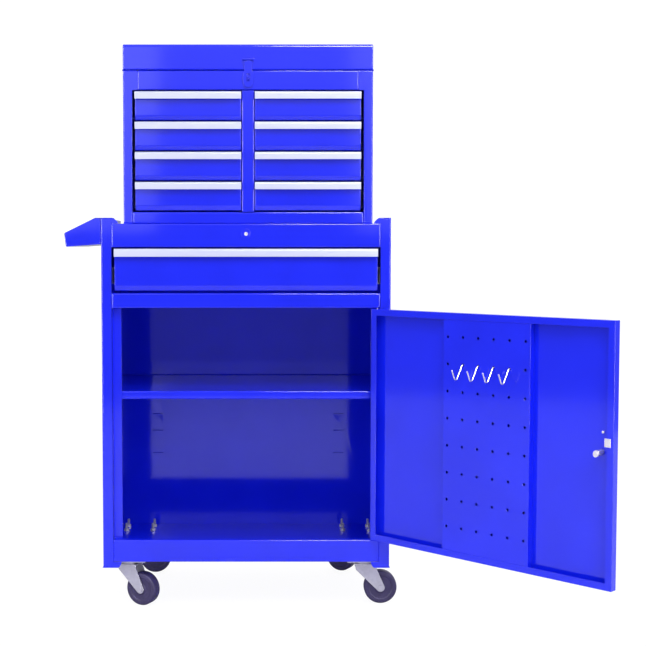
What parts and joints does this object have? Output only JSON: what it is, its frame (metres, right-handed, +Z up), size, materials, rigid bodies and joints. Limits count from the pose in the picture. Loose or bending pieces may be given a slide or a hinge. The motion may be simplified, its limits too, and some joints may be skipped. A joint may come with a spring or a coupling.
{
  "type": "tool cart",
  "caption": "Rolling sheet-steel tool cart: lift-lid chest with small drawers on a cabinet with wide drawer, pegboard door, shelf, side tray and swivel casters.",
  "frame": {"origin": "on the floor, under the middle of the cabinet's footprint", "axes": "+X to the right as seen from the front, +Y from the drawers to the back, +Z up"},
  "size_m": [0.9542, 0.6803, 1.078],
  "materials": {
    "paint": "gloss",
    "aluminium": "satin",
    "zinc": "satin",
    "chrome": "polished",
    "rubber": "matt"
  },
  "bodies": {
    "cabinet": {"left_side_panel": "paint", "right_side_panel": "paint", "back_panel": "paint", "floor_pan": "paint", "top_deck": "paint", "mid_rail": "paint", "shelf": "paint", "drawer_slides": "zinc", "side_tray": "paint", "caster_plates": "zinc", "caster_bolts": "zinc", "drawer_lock_housing": "paint", "chest_left_side": "paint", "chest_right_side": "paint", "chest_back": "paint", "chest_floor": "paint", "chest_till": "paint", "chest_divider": "paint", "chest_runners": "paint", "lid_hinge_fixed_leaf": "paint", "hasp_staple": "paint"},
    "drawer_lock": {"drawer_lock_plug": "chrome"},
    "door": {"door_panel": "paint", "pegboard": "paint", "peg_hooks": "chrome", "door_hinge_pins": "zinc", "door_catch": "chrome", "door_lock_housing": "chrome"},
    "door_lock": {"door_lock_plug": "chrome"},
    "wide_drawer": {"wide_drawer": "paint", "wide_drawer_pull": "aluminium", "wide_drawer_runners": "zinc"},
    "lid": {"lid": "paint", "lid_hinge_moving_leaf": "paint", "hasp_mount": "paint"},
    "hasp": {"hasp_plate": "paint"},
    "drawer_left_1": {"drawer_left_1": "paint", "pull_left_1": "aluminium"},
    "drawer_left_2": {"drawer_left_2": "paint", "pull_left_2": "aluminium"},
    "drawer_left_3": {"drawer_left_3": "paint", "pull_left_3": "aluminium"},
    "drawer_left_4": {"drawer_left_4": "paint", "pull_left_4": "aluminium"},
    "drawer_right_1": {"drawer_right_1": "paint", "pull_right_1": "aluminium"},
    "drawer_right_2": {"drawer_right_2": "paint", "pull_right_2": "aluminium"},
    "drawer_right_3": {"drawer_right_3": "paint", "pull_right_3": "aluminium"},
    "drawer_right_4": {"drawer_right_4": "paint", "pull_right_4": "aluminium"},
    "fork_front_left": {"fork_front_left": "zinc"},
    "wheel_front_left": {"wheel_front_left": "rubber"},
    "fork_front_right": {"fork_front_right": "zinc"},
    "wheel_front_right": {"wheel_front_right": "rubber"},
    "fork_rear_left": {"fork_rear_left": "zinc"},
    "wheel_rear_left": {"wheel_rear_left": "rubber"},
    "fork_rear_right": {"fork_rear_right": "zinc"},
    "wheel_rear_right": {"wheel_rear_right": "rubber"}
  },
  "joints": [
    {"name": "drawer_lock_turn", "type": "hinge", "parent": "cabinet", "child": "drawer_lock", "pos_m": [0, -0.16, 0.7215], "axis": [0, 1, 0], "range_deg": [0, 90]},
    {"name": "door_hinge", "type": "hinge", "parent": "cabinet", "child": "door", "pos_m": [0.2496, -0.1579, 0.358], "axis": [0, 0, 1], "range_deg": [-135.4, 0.8]},
    {"name": "door_lock_turn", "type": "hinge", "parent": "door", "child": "door_lock", "pos_m": [0.58857, -0.48923, 0.361], "axis": [-0.7022, -0.712, 0], "range_deg": [0, 90]},
    {"name": "wide_drawer_slide", "type": "slide", "parent": "cabinet", "child": "wide_drawer", "axis": [0, -1, 0], "range_m": [0, 0.22]},
    {"name": "lid_hinge", "type": "hinge", "parent": "cabinet", "child": "lid", "pos_m": [0.004, 0.1368, 1.029], "axis": [-1, 0, 0], "range_deg": [0, 95]},
    {"name": "hasp_hinge", "type": "hinge", "parent": "lid", "child": "hasp", "pos_m": [0.0045, -0.1588, 1.049], "axis": [-1, 0, 0], "range_deg": [0, 160]},
    {"name": "drawer_left_1_slide", "type": "slide", "parent": "cabinet", "child": "drawer_left_1", "axis": [0, -1, 0], "range_m": [0, 0.2]},
    {"name": "drawer_left_2_slide", "type": "slide", "parent": "cabinet", "child": "drawer_left_2", "axis": [0, -1, 0], "range_m": [0, 0.2]},
    {"name": "drawer_left_3_slide", "type": "slide", "parent": "cabinet", "child": "drawer_left_3", "axis": [0, -1, 0], "range_m": [0, 0.2]},
    {"name": "drawer_left_4_slide", "type": "slide", "parent": "cabinet", "child": "drawer_left_4", "axis": [0, -1, 0], "range_m": [0, 0.2]},
    {"name": "drawer_right_1_slide", "type": "slide", "parent": "cabinet", "child": "drawer_right_1", "axis": [0, -1, 0], "range_m": [0, 0.2]},
    {"name": "drawer_right_2_slide", "type": "slide", "parent": "cabinet", "child": "drawer_right_2", "axis": [0, -1, 0], "range_m": [0, 0.2]},
    {"name": "drawer_right_3_slide", "type": "slide", "parent": "cabinet", "child": "drawer_right_3", "axis": [0, -1, 0], "range_m": [0, 0.2]},
    {"name": "drawer_right_4_slide", "type": "slide", "parent": "cabinet", "child": "drawer_right_4", "axis": [0, -1, 0], "range_m": [0, 0.2]},
    {"name": "swivel_front_left", "type": "hinge", "parent": "cabinet", "child": "fork_front_left", "pos_m": [-0.23, -0.112, 0.08], "axis": [0, 0, 1], "continuous": true},
    {"name": "wheel_front_left_spin", "type": "hinge", "parent": "fork_front_left", "child": "wheel_front_left", "pos_m": [-0.20124, -0.12603, 0.032], "axis": [0.4384, 0.8988, 0], "continuous": true},
    {"name": "swivel_front_right", "type": "hinge", "parent": "cabinet", "child": "fork_front_right", "pos_m": [0.23, -0.112, 0.08], "axis": [0, 0, 1], "continuous": true},
    {"name": "wheel_front_right_spin", "type": "hinge", "parent": "fork_front_right", "child": "wheel_front_right", "pos_m": [0.262, -0.112, 0.032], "axis": [0, 1, 0], "continuous": true},
    {"name": "swivel_rear_left", "type": "hinge", "parent": "cabinet", "child": "fork_rear_left", "pos_m": [-0.23, 0.112, 0.08], "axis": [0, 0, 1], "continuous": true},
    {"name": "wheel_rear_left_spin", "type": "hinge", "parent": "fork_rear_left", "child": "wheel_rear_left", "pos_m": [-0.19831, 0.11645, 0.032], "axis": [-0.1392, 0.9903, 0], "continuous": true},
    {"name": "swivel_rear_right", "type": "hinge", "parent": "cabinet", "child": "fork_rear_right", "pos_m": [0.23, 0.112, 0.08], "axis": [0, 0, 1], "continuous": true},
    {"name": "wheel_rear_right_spin", "type": "hinge", "parent": "fork_rear_right", "child": "wheel_rear_right", "pos_m": [0.20229, 0.128, 0.032], "axis": [-0.5, -0.866, 0], "continuous": true}
  ]
}
